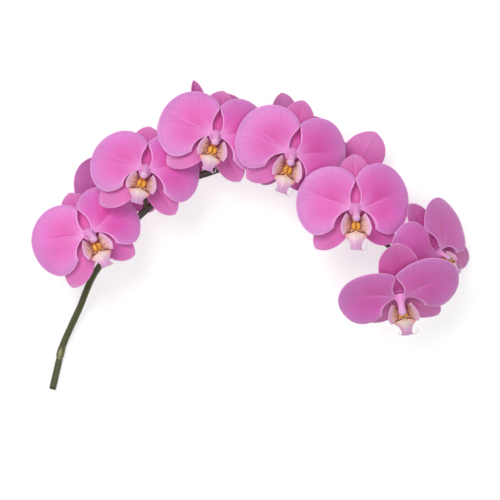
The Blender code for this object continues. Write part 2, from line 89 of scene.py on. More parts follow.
plain = dict(leftTurn=0, leftFurl=0, rightTurn=0, rightFurl=0, petalReach=(1, 1), dorsalFold=0,
             dorsalWide=1.0, sepalTilt=8, sepalTurns=(0, 0, 0), sepalStretch=(1, 1, 1), lipSize=1.0,
             lipTurn=0, loops=(0.6, 1.0), rear=False, tone=0.0)
blooms = {number: {**plain, **own} for number, own in blooms.items()}


def bloomMatrix(bloom):
    # from a bloom's own mm, face along +Z, to its place in mm
    def turned(angle, axis):
        return Matrix.Rotation(math.radians(angle), 4, axis)

    place = Matrix.Translation(seenAt(*bloom["hub"])) @ turned(bloom["turn"], "Y")
    place = place @ turned(bloom["nod"], "X") @ turned(bloom["lean"], "Z")
    if bloom["rear"]:
        place = place @ turned(180, "Y")
    return np.array(place @ Matrix.Scale(bloom["size"], 4))


def shrunk(size, turn):
    # a change of size about the claw of the lip, then a turn in the bloom's plane
    claw = Matrix.Translation(lip["midlobe"][1][0])
    turned = Matrix.Rotation(math.radians(turn), 4, "Z")
    return np.array(turned @ claw @ Matrix.Scale(size, 4) @ claw.inverted())


def ease(low, high, value):
    # 0 below low, 1 above high, and the curve 3x^2 - 2x^3 between
    x = np.clip((value - low) / (high - low), 0, 1)
    return x * x * (3 - 2 * x)


def bump(middle, width, value):
    # a bell of height 1 about the middle
    return np.exp(-((value - middle) / width) ** 2)


def unit(vectors):
    return vectors / np.maximum(np.linalg.norm(vectors, axis=-1, keepdims=True), 1e-9)


def splineMatrix(count, samples):
    # weights that carry so many points to samples on a Catmull-Rom curve through them
    s = np.linspace(0, count - 1, samples)
    k = np.minimum(s.astype(int), count - 2)
    t = s - k
    weights = np.zeros((samples, count + 2))
    rows = np.arange(samples)
    for shift, share in enumerate((-t + 2 * t ** 2 - t ** 3, 2 - 5 * t ** 2 + 3 * t ** 3,
                                   t + 4 * t ** 2 - 3 * t ** 3, -t ** 2 + t ** 3)):
        weights[rows, k + shift] += 0.5 * share
    inner = weights[:, 1:-1]
    inner[:, 0] += 2 * weights[:, 0]  # the point before the first is a mirror of the second
    inner[:, 1] -= weights[:, 0]
    inner[:, -1] += 2 * weights[:, -1]
    inner[:, -2] -= weights[:, -1]
    return inner


def loft(rails, rows, columns):
    # a smooth sheet through a net of points, splined both ways
    net = np.array(rails, dtype=float)
    down, over = splineMatrix(net.shape[0], rows), splineMatrix(net.shape[1], columns)
    return np.einsum("ia,abk,jb->ijk", down, net, over)


def blade(middle, thick, skin, mood, finish=0):
    # a closed leaf round a grid of middle points: two sheets half the thickness off it along its
    # normal, and between them a rim ring pushed out by half the thickness; the mood's first
    # number is 0 on the front, 0.5 on the rim and 1 on the back
    rows, columns = middle.shape[:2]
    normal = unit(np.cross(np.gradient(middle, axis=0), np.gradient(middle, axis=1)))
    half = 0.5 * np.broadcast_to(thick, (rows, columns))[..., None]
    index = np.arange(rows * columns).reshape(rows, columns)
    loop = np.concatenate((index[:-1, 0], index[-1, :-1], index[:0:-1, -1], index[0, :0:-1]))
    flat, flatNormal = middle.reshape(-1, 3), normal.reshape(-1, 3)
    tangent = np.roll(flat[loop], -1, axis=0) - np.roll(flat[loop], 1, axis=0)
    outward = unit(np.cross(tangent, flatNormal[loop]))
    rim = flat[loop] + half.reshape(-1, 1)[loop] * outward
    points = np.vstack(((middle + half * normal).reshape(-1, 3),
                        (middle - half * normal).reshape(-1, 3), rim))
    a, b = index[:-1, :-1].ravel(), index[1:, :-1].ravel()
    c, d = index[1:, 1:].ravel(), index[:-1, 1:].ravel()
    back = rows * columns
    ring = 2 * back + np.arange(len(loop))
    after, ringAfter = np.roll(loop, -1), np.roll(ring, -1)
    faces = np.vstack((np.stack((a, b, c, d), 1), back + np.stack((a, d, c, b), 1),
                       np.stack((loop, ring, ringAfter, after), 1),
                       np.stack((ring, back + loop, back + after, ringAfter), 1)))
    skin, mood = skin.reshape(-1, 3), mood.reshape(-1, 3)
    behind, between = mood.copy(), mood[loop].copy()
    behind[:, 0], between[:, 0] = 1.0, 0.5
    return dict(points=points, faces=[faces], finish=finish,
                skin=np.vstack((skin, skin, skin[loop])), mood=np.vstack((mood, behind, between)))


def tube(path, radii, sides, reference, mood=(0, 0, 0), flat=1.0, finish=0, cut=0.0):
    # rings of a given radius square to the path, each turned from the reference direction, and a
    # pole at each end; the skin is the ring's cosine, its sine and the length so far
    path = np.asarray(path, dtype=float)
    ahead = unit(np.gradient(path, axis=0))
    across = unit(np.cross(ahead, np.cross(np.asarray(reference, dtype=float), ahead)))
    over = np.cross(ahead, across)
    angle = np.linspace(0, math.tau, sides, endpoint=False)[None, :, None]
    wide = np.broadcast_to(radii, (len(path),))[:, None, None]
    rings = path[:, None] + wide * (np.cos(angle) * across[:, None]
                                    + flat * np.sin(angle) * over[:, None])
    length = np.concatenate(((0,), np.cumsum(np.linalg.norm(np.diff(path, axis=0), axis=1))))
    skin = np.stack(np.broadcast_arrays(np.cos(angle[..., 0]), np.sin(angle[..., 0]),
                                        length[:, None]), 2)
    return closedRings(rings, skin, mood, finish, cut)


def closedRings(rings, skin, mood, finish=0, cut=0.0):
    # joins rings of points into a skin and closes each end with a fan to its middle; the cut is
    # the mood's first number at the middle of the first end
    rows, sides = rings.shape[:2]
    poles = np.stack((rings[0].mean(0), rings[-1].mean(0)))
    poleSkin = np.stack((skin[0].mean(0), skin[-1].mean(0)))
    index = np.arange(rows * sides).reshape(rows, sides)
    following = np.roll(index, -1, axis=1)
    quads = np.stack((index[:-1].ravel(), following[:-1].ravel(),
                      following[1:].ravel(), index[1:].ravel()), 1)
    first, last = rows * sides, rows * sides + 1
    fans = np.vstack((np.stack((np.full(sides, first), following[0], index[0]), 1),
                      np.stack((np.full(sides, last), index[-1], following[-1]), 1)))
    points = np.vstack((rings.reshape(-1, 3), poles))
    moods = np.tile(np.asarray(mood, dtype=float), (len(points), 1))
    moods[first, 0] = cut
    return dict(points=points, faces=[quads, fans], finish=finish,
                skin=np.vstack((skin.reshape(-1, 3), poleSkin)), mood=moods)


def ball(centre, halves, mood, rows=16, sides=24):
    # rings of an ellipsoid from its lower pole to its upper one
    polar = np.linspace(0.06, math.pi - 0.06, rows)[:, None]
    around = np.linspace(0, math.tau, sides, endpoint=False)[None, :]
    shape = np.stack(np.broadcast_arrays(np.sin(polar) * np.cos(around),
                                         np.sin(polar) * np.sin(around), -np.cos(polar)), 2)
    return closedRings(np.asarray(centre) + shape * np.asarray(halves), shape, mood)


def piece(name, shells, matrix, finishNames, nodes, floorCut=False):
    # joins shells into one mesh in metres, at the origin, and hands it to the frame; the floor
    # cut presses what would pass the floor flat on it
    count, points, faces, which = 0, [], [], []
    for shell in shells:
        points.append(shell["points"] @ matrix[:3, :3].T + matrix[:3, 3])
        for block in shell["faces"]:
            faces += (block + count).tolist()
            which += [shell["finish"]] * len(block)
        count += len(points[-1])
    points = np.vstack(points) * 0.001
    if floorCut:
        points[:, 2] = np.maximum(points[:, 2], 0.0)
    mesh = bpy.data.meshes.new(name)
    mesh.from_pydata(points.tolist(), [], faces)
    mesh.polygons.foreach_set("material_index", which)
    mesh.polygons.foreach_set("use_smooth", [True] * len(faces))
    for key in ("skin", "mood"):
        values = np.vstack([shell[key] for shell in shells])
        layer = mesh.attributes.new(key, "FLOAT_VECTOR", "POINT")
        layer.data.foreach_set("vector", values.astype(np.float32).ravel())
    for finishName in finishNames:
        mesh.materials.append(finishes[finishName])
    mesh.update()
    made = bpy.data.objects.new(name, mesh)
    bpy.context.scene.collection.objects.link(made)
    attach(made, "root")
    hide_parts(*nodes)


def tint(red, green, blue):
    # a colour as seen on a screen, 0 to 255, to the light it stands for
    seen = np.array((red, green, blue)) / 255
    light = np.where(seen <= 0.04045, seen / 12.92, ((seen + 0.055) / 1.055) ** 2.4)
    return (*light.tolist(), 1.0)


# what the finishes share: light seeps so far, in metres, in red, green and blue
flesh = dict(sheenRoughness=0.4, seepRadius=(0.0030, 0.0012, 0.0024), coatRoughness=0.3)


def newFinish(name, roughness, sheen=0.0, sheenTint=(1, 1, 1, 1), seep=0.0, coat=0.0):
    made = bpy.data.materials.new(name)
    made.use_nodes = True
    shader = made.node_tree.nodes["Principled BSDF"]
    shader.inputs["Roughness"].default_value = roughness
    shader.inputs["Sheen Weight"].default_value = sheen
    shader.inputs["Sheen Roughness"].default_value = flesh["sheenRoughness"]
    shader.inputs["Sheen Tint"].default_value = sheenTint
    shader.inputs["Subsurface Weight"].default_value = seep
    shader.inputs["Subsurface Radius"].default_value = flesh["seepRadius"]
    shader.inputs["Subsurface Scale"].default_value = 1.0
    shader.inputs["Coat Weight"].default_value = coat
    shader.inputs["Coat Roughness"].default_value = flesh["coatRoughness"]
    return made, made.node_tree, shader


def feed(tree, socket, value):
    # a socket takes another node's output, or a plain number or colour
    if isinstance(value, bpy.types.NodeSocket):
        tree.links.new(value, socket)
    else:
        socket.default_value = value


def maths(tree, operation, *values):
    node = tree.nodes.new("ShaderNodeMath")
    node.operation = operation
    for socket, value in zip(node.inputs, values):
        feed(tree, socket, value)
    return node.outputs[0]


def times(tree, *values):
    result = values[0]
    for value in values[1:]:
        result = maths(tree, "MULTIPLY", result, value)
    return result


def step(tree, value, low, high):
    # 0 at low, 1 at high, eased between; low above high turns it round
    node = tree.nodes.new("ShaderNodeMapRange")
    node.interpolation_type = "SMOOTHSTEP"
    if low > high:
        low, high, start, end = high, low, 1.0, 0.0
    else:
        start, end = 0.0, 1.0
    for key, number in (("Value", value), ("From Min", low), ("From Max", high),
                        ("To Min", start), ("To Max", end)):
        feed(tree, node.inputs[key], number)
    return node.outputs["Result"]


def blended(tree, factor, first, second, how="MIX"):
    node = tree.nodes.new("ShaderNodeMix")
    node.data_type, node.blend_type, node.clamp_factor = "RGBA", how, True
    feed(tree, node.inputs[0], factor)
    feed(tree, node.inputs[6], first)
    feed(tree, node.inputs[7], second)
    return node.outputs[2]


def painted(tree, colour, look, **shares):
    # coats of the look's colours, each laid over the ones before it by its share
    for key, share in shares.items():
        colour = blended(tree, share, colour, tint(*look[key]))
    return colour


def ramp(tree, value, stops):
    node = tree.nodes.new("ShaderNodeValToRGB")
    node.color_ramp.interpolation = "B_SPLINE"
    elements = node.color_ramp.elements
    while len(elements) < len(stops):
        elements.new(1.0)
    for element, (place, colour) in zip(elements, stops):
        element.position, element.color = place, tint(*colour)
    feed(tree, node.inputs[0], value)
    return node.outputs[0]


def split(tree, name):
    # the three numbers of one of the mesh's own attributes
    layer = tree.nodes.new("ShaderNodeAttribute")
    layer.attribute_name = name
    parts = tree.nodes.new("ShaderNodeSeparateXYZ")
    tree.links.new(layer.outputs["Vector"], parts.inputs[0])
    return parts.outputs[0], parts.outputs[1], parts.outputs[2]


def gathered(tree, x, y, z):
    node = tree.nodes.new("ShaderNodeCombineXYZ")
    for socket, value in zip(node.inputs, (x, y, z)):
        feed(tree, socket, value)
    return node.outputs[0]


def grain(tree, scale, detail, vector=None):
    # soft noise, on Object coordinates unless a vector is given
    node = tree.nodes.new("ShaderNodeTexNoise")
    node.inputs["Scale"].default_value = scale
    node.inputs["Detail"].default_value = detail
    if vector is None:
        vector = tree.nodes.new("ShaderNodeTexCoord").outputs["Object"]
    tree.links.new(vector, node.inputs["Vector"])
    return node.outputs["Fac"]


def cells(tree, scale):
    # distance to the edges of small cells, on Object coordinates
    node = tree.nodes.new("ShaderNodeTexVoronoi")
    node.feature = "DISTANCE_TO_EDGE"
    node.inputs["Scale"].default_value = scale
    place = tree.nodes.new("ShaderNodeTexCoord").outputs["Object"]
    tree.links.new(place, node.inputs["Vector"])
    return node.outputs["Distance"]


def lines(tree, value, count, sharp):
    # so many fine lines as value goes from 0 to 1: the cosine's crests, sharpened by a power
    wave = maths(tree, "COSINE", maths(tree, "MULTIPLY", value, math.tau * count))
    crest = maths(tree, "MULTIPLY_ADD", wave, 0.5, 0.5)
    return maths(tree, "POWER", crest, sharp)


def relief(tree, shader, height, distance, strength):
    node = tree.nodes.new("ShaderNodeBump")
    node.inputs["Distance"].default_value = distance
    node.inputs["Strength"].default_value = strength
    feed(tree, node.inputs["Height"], height)
    tree.links.new(node.outputs[0], shader.inputs["Normal"])


petalLook = dict(
    front=((0.0, (238, 160, 218)), (0.16, (238, 140, 213)), (0.36, (232, 98, 191)),
           (0.62, (230, 105, 195)), (0.86, (226, 124, 204)), (1.0, (219, 146, 211))),
    back=((0.0, (214, 128, 190)), (0.4, (204, 104, 178)), (0.8, (200, 110, 178)),
          (1.0, (208, 138, 194))),
    # dark is the colour of a painted shadow, laid where the deep pink mask falls below 0
    deep=(224, 78, 170), dark=(150, 34, 104), dusk=(196, 92, 172), backDusk=(198, 140, 186),
    vein=(206, 70, 162), backVein=(150, 62, 128), veins=17, rim=(250, 176, 232),
    # crease is a painted highlight along the petal's fold
    crease=(244, 150, 220), creaseWidth=0.07,
)
sepalLook = dict(
    front=((0.0, (226, 108, 190)), (0.3, (222, 96, 180)), (0.6, (221, 102, 181)),
           (0.9, (222, 120, 190)), (1.0, (224, 142, 198))),
    back=((0.0, (226, 116, 190)), (0.5, (228, 106, 188)), (1.0, (224, 148, 204))),
    # dark is the painted shadow that the petals cast on the feet of the two lower sepals
    deep=(222, 70, 160), dark=(142, 8, 92), dusk=(180, 84, 152), backDusk=(198, 140, 186),
    vein=(184, 60, 142), backVein=(134, 58, 112), veins=9, rim=(240, 160, 214),
    crease=(232, 96, 176), creaseWidth=0.063,
)
# how much of each colour goes over the one below, on petals and sepals alike
leafShare = dict(fork=0.7, crease=0.55, vein=0.11, dusk=0.55, backVein=0.12, backDusk=0.7, rim=0.75)


def leafFinish(name, look):
    # veins fan out with across, fork half way, and wander with the noise; the blush, the pale
    # crease and the rim are masks; the blush is deep pink, partly the leaf's own colour and partly
    # painted shade either side of a petal's fold, and below 0 it is a painted shadow, dark at a
    # sepal's foot where the petals shade it; the pale crease is a painted highlight along the fold;
    # the tone dulls a whole bloom, and the back is duller, with stronger veins
    made, tree, shader = newFinish(name, 0.46, sheen=0.18, sheenTint=tint(255, 200, 240), seep=0.12)
    along, across, margin = split(tree, "skin")
    side, blushAndShade, tone = split(tree, "mood")
    wander = maths(tree, "MULTIPLY_ADD", grain(tree, 55, 2), 0.05, across)
    fine = maths(tree, "MULTIPLY_ADD", grain(tree, 160, 2), 0.02, wander)
    main = lines(tree, fine, look["veins"], 10)
    forks = times(tree, lines(tree, maths(tree, "ADD", fine, 0.019), 2 * look["veins"], 6),
                  step(tree, along, 0.3, 0.65))
    net = step(tree, cells(tree, 620), 0.10, 0.0)
    veins = maths(tree, "MAXIMUM", main, times(tree, forks, leafShare["fork"]))
    veins = times(tree, veins, step(tree, along, 0.05, 0.3), step(tree, margin, 0.4, 3.0))

    middle = maths(tree, "ABSOLUTE", maths(tree, "SUBTRACT", across, 0.5))
    # painted highlight: a pale line along the fold, where the crease in a petal's shape catches the
    # light
    crease = times(tree, step(tree, middle, look["creaseWidth"], 0.0),
                   step(tree, along, 0.75, 0.1), leafShare["crease"])
    # the dark coat is painted shadow at a sepal's foot, where the mood's second number is below 0
    front = painted(tree, ramp(tree, along, look["front"]), look, deep=blushAndShade,
                    dark=maths(tree, "MULTIPLY", blushAndShade, -1.0), crease=crease,
                    vein=times(tree, veins, leafShare["vein"]),
                    dusk=times(tree, tone, leafShare["dusk"]))
    rear = painted(tree, ramp(tree, along, look["back"]), look,
                   backVein=times(tree, veins, leafShare["backVein"]),
                   backDusk=times(tree, tone, leafShare["backDusk"]))
    colour = blended(tree, step(tree, side, 0.5, 0.9), front, rear)
    rim = times(tree, step(tree, margin, 0.85, 0.1), leafShare["rim"])
    colour = painted(tree, colour, look, rim=rim)
    mottle = maths(tree, "MULTIPLY_ADD", grain(tree, 38, 3), 0.30, 0.85)
    colour = blended(tree, 1.0, colour, gathered(tree, mottle, mottle, mottle), "MULTIPLY")
    feed(tree, shader.inputs["Base Color"], colour)
    satin = maths(tree, "MULTIPLY_ADD", grain(tree, 420, 2), 0.16, 0.40)
    feed(tree, shader.inputs["Roughness"], satin)
    height = maths(tree, "ADD", times(tree, veins, 0.6), times(tree, net, 0.14))
    height = maths(tree, "ADD", height, times(tree, grain(tree, 900, 2), 0.2))
    relief(tree, shader, height, 0.00016, 0.8)
    return made


lipLook = dict(
    front=((0.0, (222, 130, 70)), (0.30, (236, 158, 96)), (0.42, (244, 190, 150)),
           (0.55, (246, 208, 196)), (0.68, (238, 192, 216)), (0.84, (226, 166, 212)),
           (1.0, (214, 158, 204))),
    # pale is a painted highlight on the middle of the lobe
    pale=(252, 232, 224), paintedHighlightShare=0.6, flush=(234, 136, 118), flushShare=0.75,
    # stripe is the colour of the painted fold shadow and of the dots
    rib=(206, 150, 110), ribShare=0.5, stripe=(124, 36, 40), foldShadowAt=0.37, foldShadowSlant=-0.13,
    dotShare=0.8, vein=(204, 120, 172), veins=5, veinShare=0.22, back=(226, 160, 196),
)


def lipFinish():
    # along runs from the claw to the tip, across from one edge to the other; a maroon stripe of
    # painted shadow slants back from the middle line along the fold where the side lobes meet this
    # lobe, and dots, the lip's own marks, stand behind it
    look = lipLook
    made, tree, shader = newFinish("lip_middle_lobe", 0.4, sheen=0.1, seep=0.15, coat=0.08)
    along, across, _ = split(tree, "skin")
    side, _, _ = split(tree, "mood")
    off = maths(tree, "ABSOLUTE", across)
    # painted highlight: a pale patch down the middle of the lobe
    pale = times(tree, step(tree, off, 0.75, 0.1), step(tree, along, 0.45, 0.55),
                 step(tree, along, 0.86, 0.62), look["paintedHighlightShare"])
    flush = times(tree, step(tree, off, 0.55, 1.0), step(tree, along, 0.36, 0.52),
                  step(tree, along, 0.72, 0.58), look["flushShare"])
    rib = times(tree, step(tree, off, 0.07, 0.0), step(tree, along, 0.68, 0.5), look["ribShare"])
    wander = maths(tree, "MULTIPLY_ADD", grain(tree, 260, 2), 0.07, -0.035)
    # painted shadow: a maroon line along the fold where the side lobes meet this lobe
    slant = maths(tree, "MULTIPLY_ADD", off, look["foldShadowSlant"], along)
    way = maths(tree, "SUBTRACT", maths(tree, "ADD", slant, wander), look["foldShadowAt"])
    stripe = times(tree, step(tree, maths(tree, "ABSOLUTE", way), 0.045, 0.014),
                   step(tree, off, 0.12, 0.35))
    dots = times(tree, step(tree, grain(tree, 900, 1), 0.56, 0.66),
                 step(tree, along, 0.42, 0.2), look["dotShare"])
    wavy = maths(tree, "MULTIPLY_ADD", grain(tree, 200, 2), 0.06, across)
    veins = lines(tree, wavy, look["veins"], 5)
    colour = painted(tree, ramp(tree, along, look["front"]), look, pale=pale, flush=flush, rib=rib,
                     stripe=maths(tree, "MAXIMUM", stripe, dots), back=step(tree, side, 0.5, 0.9),
                     vein=times(tree, veins, step(tree, along, 0.5, 0.8), look["veinShare"]))
    feed(tree, shader.inputs["Base Color"], colour)
    height = maths(tree, "ADD", times(tree, veins, 0.5), times(tree, grain(tree, 800, 2), 0.3))
    relief(tree, shader, height, 0.0002, 0.7)
    return made


sideLobeLook = dict(
    front=((0.0, (150, 58, 60)), (0.16, (216, 140, 118)), (0.42, (238, 190, 170)),
           (0.68, (232, 178, 196)), (0.9, (230, 164, 208)), (1.0, (246, 196, 230))),
    stripe=(112, 24, 44), stripes=8, base=(120, 34, 66), baseShare=0.8,
    blotch=(112, 24, 44), blotchShare=0.7, back=(226, 158, 200), veins=9,
)


def sideLobeFinish():
    # across runs from the lobe's foot to its free edge, along from the column to the front;
    # broken maroon stripes leave the foot
    look = sideLobeLook
    made, tree, shader = newFinish("lip_side_lobes", 0.42, sheen=0.1, seep=0.15, coat=0.05)
    along, across, _ = split(tree, "skin")
    side, _, _ = split(tree, "mood")
    wander = maths(tree, "MULTIPLY_ADD", grain(tree, 240, 2), 0.16, along)
    stripes = times(tree, lines(tree, wander, look["stripes"], 2.0),
                    step(tree, across, 0.74, 0.30), step(tree, grain(tree, 620, 1), 0.40, 0.50))
    base = times(tree, step(tree, along, 0.5, 0.0), step(tree, across, 0.8, 0.15),
                 look["baseShare"])
    blotch = times(tree, step(tree, along, 0.86, 0.96), step(tree, across, 0.8, 0.3),
                   look["blotchShare"])
    colour = painted(tree, ramp(tree, across, look["front"]), look, stripe=stripes, base=base,
                     blotch=blotch, back=step(tree, side, 0.5, 0.9))
    feed(tree, shader.inputs["Base Color"], colour)
    veins = lines(tree, wander, look["veins"], 4)
    height = maths(tree, "ADD", times(tree, veins, 0.5), times(tree, grain(tree, 900, 2), 0.3))
    relief(tree, shader, height, 0.00018, 0.7)
    return made


columnLook = dict(
    body=((0.0, (238, 144, 214)), (0.35, (244, 160, 222)), (0.75, (240, 176, 224)),
          (1.0, (242, 196, 230))),
    perMm=0.06, cap=(246, 204, 234), speck=(206, 96, 176), speckShare=0.3,
)


def columnFinish():
    # pink at the foot, paler on the cap; the skin's third number is the length from the foot
    look = columnLook
    made, tree, shader = newFinish("column_pink", 0.45, sheen=0.1, seep=0.2, coat=0.02)
    _, _, length = split(tree, "skin")
    cap, _, _ = split(tree, "mood")
    speck = times(tree, step(tree, grain(tree, 700, 2), 0.58, 0.72), look["speckShare"])
    colour = painted(tree, ramp(tree, times(tree, length, look["perMm"]), look["body"]), look,
                     cap=cap, speck=speck)
    feed(tree, shader.inputs["Base Color"], colour)
    relief(tree, shader, grain(tree, 900, 3), 0.0002, 0.5)
    return made


callusLook = dict(gold=(252, 190, 70), orange=(234, 142, 40), hollow=(190, 84, 50),
                  cleft=(140, 62, 20), cleftShare=0.75, fleck=(120, 52, 20), fleckShare=0.85)


def callusFinish():
    # golden lump, darker orange towards its lower side and brown along the cleft, with red-brown
    # flecks
    look = callusLook
    made, tree, shader = newFinish("callus_gold", 0.35, seep=0.2, coat=0.2)
    over, _, level = split(tree, "skin")
    colour = blended(tree, grain(tree, 420, 3), tint(*look["gold"]), tint(*look["orange"]))
    cleft = times(tree, step(tree, maths(tree, "ABSOLUTE", over), 0.2, 0.02), look["cleftShare"])
    flecks = times(tree, step(tree, grain(tree, 760, 2), 0.60, 0.68), look["fleckShare"])
    colour = painted(tree, colour, look, hollow=step(tree, level, 0.2, -0.5), cleft=cleft,
                     fleck=flecks)
    feed(tree, shader.inputs["Base Color"], colour)
    relief(tree, shader, grain(tree, 1100, 3), 0.0004, 0.8)
    return made


tendrilLook = dict(body=((0.0, (226, 176, 208)), (0.3, (226, 206, 218)), (1.0, (226, 224, 218))),
                   perMm=0.06)


def tendrilFinish():
    # pink at the lip, then nearly white
    made, tree, shader = newFinish("tendril_white", 0.4, seep=0.3)
    _, _, length = split(tree, "skin")
    colour = ramp(tree, times(tree, length, tendrilLook["perMm"]), tendrilLook["body"])
    feed(tree, shader.inputs["Base Color"], colour)
    relief(tree, shader, grain(tree, 1200, 2), 0.0001, 0.5)
    return made


stemLook = dict(
    green=((0.0, (62, 66, 30)), (0.45, (78, 82, 42)), (1.0, (104, 106, 66))),
    streak=(42, 44, 24), streakShare=0.5, blot=(54, 34, 40), blotShare=0.3,
    ripe=(54, 34, 40), ripeShare=0.8, ripeOver=30.0, cut=(180, 178, 128), dry=(132, 118, 82),
)


def stemFinish(name, pale, ripe):
    # lengthwise streaks: noise on the ring's cosine and sine and a shrunk length; beyond the
    # ripe length the green turns a dark purple
    look = stemLook
    made, tree, shader = newFinish(name, 0.5, sheen=0.05, coat=0.12)
    turnX, turnY, length = split(tree, "skin")
    cut, dry, _ = split(tree, "mood")
    stretched = gathered(tree, times(tree, turnX, 2.2), times(tree, turnY, 2.2),
                         times(tree, length, 0.035))
    streak = grain(tree, 2.6, 4, stretched)
    dark = times(tree, step(tree, grain(tree, 5.5, 3, stretched), 0.52, 0.70), look["streakShare"])
    blot = times(tree, step(tree, grain(tree, 60, 3), 0.60, 0.80), look["blotShare"])
    beyond = times(tree, step(tree, length, ripe, ripe + look["ripeOver"]), look["ripeShare"])
    colour = painted(tree, ramp(tree, maths(tree, "ADD", streak, pale), look["green"]), look,
                     streak=dark, blot=blot, ripe=beyond, dry=dry, cut=cut)
    feed(tree, shader.inputs["Base Color"], colour)
    feed(tree, shader.inputs["Roughness"], maths(tree, "MULTIPLY_ADD", streak, 0.25, 0.36))
    height = maths(tree, "ADD", streak, times(tree, grain(tree, 800, 2), 0.25))
    relief(tree, shader, height, 0.00035, 0.8)
    return made


finishes = dict(
    petal=leafFinish("petal_velvet", petalLook), sepal=leafFinish("sepal_velvet", sepalLook),
    lip=lipFinish(), sideLobe=sideLobeFinish(), column=columnFinish(), callus=callusFinish(),
    tendril=tendrilFinish(), stem=stemFinish("stem_green", 0.0, 140.0),
    stalk=stemFinish("stalk_green", 0.05, 4.0),
)
print("finishes:", len(finishes))

petal = dict(
    claw=3.0, height=2.0, reach=47.6, low=(-22.0, -26.0), high=(79.0, 17.0), middle=0.53,
    fade=((0.25, 0.28), (0.47, 0.0)), sweep=11.0, rise=0.10, bend=0.0035, wave=0.8, waves=9.0,
    ripple=0.35, ripples=21, creaseAngle=15.0, crease=0.9, creaseWidth=0.045, roll=0.9, lap=0.6,
    rows=62, steps=76, thick=(0.8, 0.42), blushAndShade=0.75, blushAndShadeBelow=0.3,
)


def thinned(thick, way):
    # from the first thickness at the hub to the second at the rim
    return thick[0] + (thick[1] - thick[0]) * ease(0.1, 1.0, way)


def petalShell(turn, furl, stretch, hold, phase, tone, left):
    # polar sheet: the angle fans from low to high, where it opens a window beside the middle and
    # then closes it; the reach falls off by the square and the tenth power of the distance from
    # the middle line, which a turn moves while the hold keeps both edges; it rises, bends back
    # and waves towards the rim, where it rolls, and the left petal laps over the right one
    p = petal
    r, t = np.meshgrid(np.linspace(0.02, 1, p["rows"]), np.linspace(0, 1, p["steps"]),
                       indexing="ij")
    low = p["low"][0] + p["low"][1] * r ** 2
    high = p["high"][0] + p["high"][1] * ease(0.25, 0.95, r)
    turned = turn * np.minimum(1, 2 * r) * (1 - hold * (2 * t - 1) ** 2)
    angle = np.radians(low + (high - low) * t + turned)
    s = (t - p["middle"]) / np.where(t < p["middle"], p["middle"], 1 - p["middle"])
    square, tenth = (np.where(s < 0, *pair) for pair in zip(*p["fade"]))
    reach = r * p["reach"] * stretch * (1 - square * s ** 2 - tenth * s ** 10)
    creaseAt = (p["creaseAngle"] - sum(p["low"]) - turn) / (sum(p["high"]) - sum(p["low"]))
    z = p["rise"] * reach - p["bend"] * reach ** 2
    z += p["wave"] * r ** 3 * np.sin(p["waves"] * t + 0.6)
    z += p["ripple"] * r ** 4 * np.sin(p["ripples"] * t + phase)
    trough = bump(creaseAt, p["creaseWidth"], t)
    z -= p["crease"] * trough * ease(0.08, 0.25, r) * (1 - ease(0.5, 0.95, r))
    z -= p["roll"] * ease(0.86, 1.0, r) ** 2
    z += (1 if left else -1) * p["lap"] * ease(0.8, 1.0, t) * ease(0.5, 0.9, r)
    x, y = reach * np.cos(angle), reach * np.sin(angle)
    sweep = np.radians(p["sweep"] + furl * r)
    middle = np.stack((p["claw"] + x * np.cos(sweep) + z * np.sin(sweep), y,
                       p["height"] + z * np.cos(sweep) - x * np.sin(sweep)), 2)
    spread = np.radians(high - low) * reach
    margin = np.minimum((1 - r) * p["reach"], np.minimum(t, 1 - t) * spread)
    # painted light and shade of the fold: deep pink just above the crease and in a band below it,
    # partly the petal's own colour and partly painted shade
    above = ease(creaseAt - 0.02, creaseAt + 0.06, t) * (1 - ease(0.1, 0.42, t - creaseAt))
    below = p["blushAndShadeBelow"] * bump(-0.22, 0.12, t - creaseAt) * bump(0.5, 0.25, r)
    blushAndShade = p["blushAndShade"] * above * bump(0.38, 0.24, r) + below
    skin = np.stack((r, 0.5 + t - creaseAt, margin), 2)
    mood = np.stack((np.zeros_like(r), blushAndShade, np.full_like(r, tone)), 2)
    if left:
        middle, skin, mood = middle[:, ::-1] * (-1, 1, 1), skin[:, ::-1], mood[:, ::-1]
    return blade(middle, thinned(p["thick"], r), skin, mood)


# length, half width and direction of the upright sepal and the two others, whose feet get
# a painted shadow where the petals shade them
sepal = dict(
    dorsal=(45.0, 13.8, 90.0), laterals=((45.0, 12.2, 228.0), (45.0, 12.2, 312.0)),
    dorsalTilt=8, shade=0.85, widest=0.58, foot=0.28, drop=1.4, bend=0.002, cup=0.05, swept=0.22,
    groove=0.5, grooveWidth=0.09, ripple=0.25, ripples=11, tip=0.03, rows=44, steps=30,
    thick=(0.85, 0.45), blushAndShade=0.45,
)


